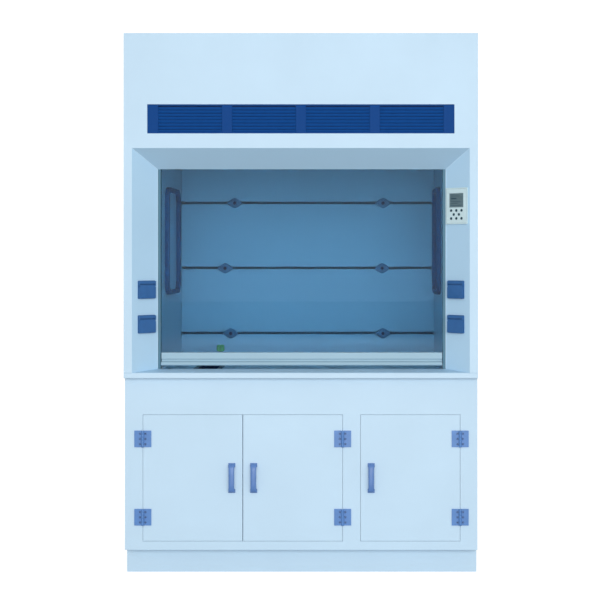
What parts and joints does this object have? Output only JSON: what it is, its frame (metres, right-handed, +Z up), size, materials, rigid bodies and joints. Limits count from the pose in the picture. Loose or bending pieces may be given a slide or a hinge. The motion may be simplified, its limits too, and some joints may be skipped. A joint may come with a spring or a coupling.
{
  "type": "laboratory fume cupboard",
  "caption": "Free-standing plastic fume cupboard with a sliding glass sash, splayed opening, bypass louvre, baffles, cup sink and a base cabinet with hinged doors.",
  "frame": {"origin": "on the floor, under the middle of the cabinet's width and depth", "axes": "+X to the right of a user who faces the cabinet, +Y towards its back, +Z up"},
  "size_m": [1.5, 0.85, 2.35],
  "materials": {
    "pale_sheet": "satin",
    "louvre_blue": "satin",
    "seal_blue": "satin",
    "clear_glass": "gloss",
    "display_glass": "gloss",
    "rail_pale": "satin",
    "shoe_white": "satin",
    "buffer_rubber": "matte",
    "bare_aluminium": "satin",
    "bare_steel": "satin",
    "knob_blue": "satin",
    "black_plastic": "satin",
    "tap_coating": "gloss",
    "knob_green": "gloss",
    "socket_blue": "satin",
    "controller_grey": "satin",
    "key_dark": "satin",
    "hinge_blue": "satin",
    "handle_blue": "satin"
  },
  "bodies": {
    "root": {"back_panels": "pale_sheet", "baffle_knobs": "knob_blue", "baffle_plates": "pale_sheet", "base_floor": "pale_sheet", "base_uprights": "pale_sheet", "bypass_louvre": "louvre_blue", "cable_gland": "black_plastic", "controller_panel": "controller_grey", "controller_screen": "display_glass", "cup_sink": "black_plastic", "exhaust_collar": "pale_sheet", "face_frame": "pale_sheet", "front_fascia": "pale_sheet", "hatch_covers": "pale_sheet", "hatch_seals": "seal_blue", "hinge_leaves_frame": "hinge_blue", "lamp_cover": "clear_glass", "lamp_housing": "pale_sheet", "liner_ceiling": "pale_sheet", "liner_sides": "pale_sheet", "outer_sides": "pale_sheet", "plinth": "pale_sheet", "pulley_brackets": "bare_aluminium", "sash_cables": "bare_steel", "sash_guides": "pale_sheet", "sash_stops": "buffer_rubber", "shelves": "pale_sheet", "sink_trap": "black_plastic", "socket_plates": "socket_blue", "surround_panels": "pale_sheet", "tap_body": "tap_coating", "top_panel": "pale_sheet", "worktop": "pale_sheet"},
    "sash": {"sash_glass": "clear_glass", "sash_rail": "rail_pale", "sash_shoes": "shoe_white"},
    "counterweights": {"counterweights": "bare_steel"},
    "pulleys": {"sash_pulleys": "bare_aluminium"},
    "door_left": {"door_left": "pale_sheet", "door_handle_left": "handle_blue", "hinge_leaves_left": "hinge_blue"},
    "door_middle": {"door_middle": "pale_sheet", "door_handle_middle": "handle_blue", "hinge_leaves_middle": "hinge_blue"},
    "door_right": {"door_right": "pale_sheet", "door_handle_right": "handle_blue", "hinge_leaves_right": "hinge_blue"},
    "lid_high_right": {"socket_lid_high_right": "socket_blue"},
    "lid_low_right": {"socket_lid_low_right": "socket_blue"},
    "lid_high_left": {"socket_lid_high_left": "socket_blue"},
    "lid_low_left": {"socket_lid_low_left": "socket_blue"},
    "tap_knob": {"tap_knob": "knob_green"},
    "key_1": {"key_1": "key_dark"},
    "key_2": {"key_2": "key_dark"},
    "key_3": {"key_3": "key_dark"},
    "key_4": {"key_4": "key_dark"},
    "key_5": {"key_5": "key_dark"},
    "key_6": {"key_6": "key_dark"},
    "key_7": {"key_7": "key_dark"},
    "key_8": {"key_8": "key_dark"}
  },
  "joints": [
    {"name": "sash_slide", "type": "slide", "parent": "root", "child": "sash", "axis": [0, 0, 1], "range_m": [0, 0.5], "deforming": ["sash_cables"]},
    {"name": "counterweight_slide", "type": "slide", "parent": "root", "child": "counterweights", "axis": [0, 0, -1], "range_m": [0, 0.502]},
    {"name": "pulley_spin", "type": "hinge", "parent": "root", "child": "pulleys", "pos_m": [0, -0.268, 2.218], "axis": [1, 0, 0], "range_deg": [-478.46, 0]},
    {"name": "door_left_hinge", "type": "hinge", "parent": "root", "child": "door_left", "pos_m": [-0.6735, -0.4015, 0.4115], "axis": [0, 0, -1], "range_deg": [0, 115]},
    {"name": "door_middle_hinge", "type": "hinge", "parent": "root", "child": "door_middle", "pos_m": [0.1765, -0.4015, 0.4115], "axis": [0, 0, 1], "range_deg": [0, 115]},
    {"name": "door_right_hinge", "type": "hinge", "parent": "root", "child": "door_right", "pos_m": [0.6765, -0.4015, 0.4115], "axis": [0, 0, 1], "range_deg": [0, 115]},
    {"name": "lid_high_right_hinge", "type": "hinge", "parent": "root", "child": "lid_high_right", "pos_m": [0.66172, -0.39134, 1.231], "axis": [-0.7682, 0.6402, 0], "range_deg": [0, 110]},
    {"name": "lid_low_right_hinge", "type": "hinge", "parent": "root", "child": "lid_low_right", "pos_m": [0.66172, -0.39134, 1.084], "axis": [-0.7682, 0.6402, 0], "range_deg": [0, 110]},
    {"name": "lid_high_left_hinge", "type": "hinge", "parent": "root", "child": "lid_high_left", "pos_m": [-0.66172, -0.39134, 1.231], "axis": [-0.7682, -0.6402, 0], "range_deg": [0, 110]},
    {"name": "lid_low_left_hinge", "type": "hinge", "parent": "root", "child": "lid_low_left", "pos_m": [-0.66172, -0.39134, 1.084], "axis": [-0.7682, -0.6402, 0], "range_deg": [0, 110]},
    {"name": "tap_knob_turn", "type": "hinge", "parent": "root", "child": "tap_knob", "pos_m": [-0.392, 0.045, 0.922], "axis": [0, 0, 1], "range_deg": [0, 90]},
    {"name": "key_1_press", "type": "slide", "parent": "root", "child": "key_1", "axis": [0.6402, 0.7682, 0], "range_m": [0, 0.001], "stiffness_N_per_m": 600, "springref_m": -0.001},
    {"name": "key_2_press", "type": "slide", "parent": "root", "child": "key_2", "axis": [0.6402, 0.7682, 0], "range_m": [0, 0.001], "stiffness_N_per_m": 600, "springref_m": -0.001},
    {"name": "key_3_press", "type": "slide", "parent": "root", "child": "key_3", "axis": [0.6402, 0.7682, 0], "range_m": [0, 0.001], "stiffness_N_per_m": 600, "springref_m": -0.001},
    {"name": "key_4_press", "type": "slide", "parent": "root", "child": "key_4", "axis": [0.6402, 0.7682, 0], "range_m": [0, 0.001], "stiffness_N_per_m": 600, "springref_m": -0.001},
    {"name": "key_5_press", "type": "slide", "parent": "root", "child": "key_5", "axis": [0.6402, 0.7682, 0], "range_m": [0, 0.001], "stiffness_N_per_m": 600, "springref_m": -0.001},
    {"name": "key_6_press", "type": "slide", "parent": "root", "child": "key_6", "axis": [0.6402, 0.7682, 0], "range_m": [0, 0.001], "stiffness_N_per_m": 600, "springref_m": -0.001},
    {"name": "key_7_press", "type": "slide", "parent": "root", "child": "key_7", "axis": [0.6402, 0.7682, 0], "range_m": [0, 0.001], "stiffness_N_per_m": 600, "springref_m": -0.001},
    {"name": "key_8_press", "type": "slide", "parent": "root", "child": "key_8", "axis": [0.6402, 0.7682, 0], "range_m": [0, 0.001], "stiffness_N_per_m": 600, "springref_m": -0.001}
  ],
  "couplings": [
    {"joint": "counterweight_slide", "follows": "sash_slide", "ratio": 1},
    {"joint": "pulley_spin", "follows": "sash_slide", "rad_per_m": -16.667}
  ]
}
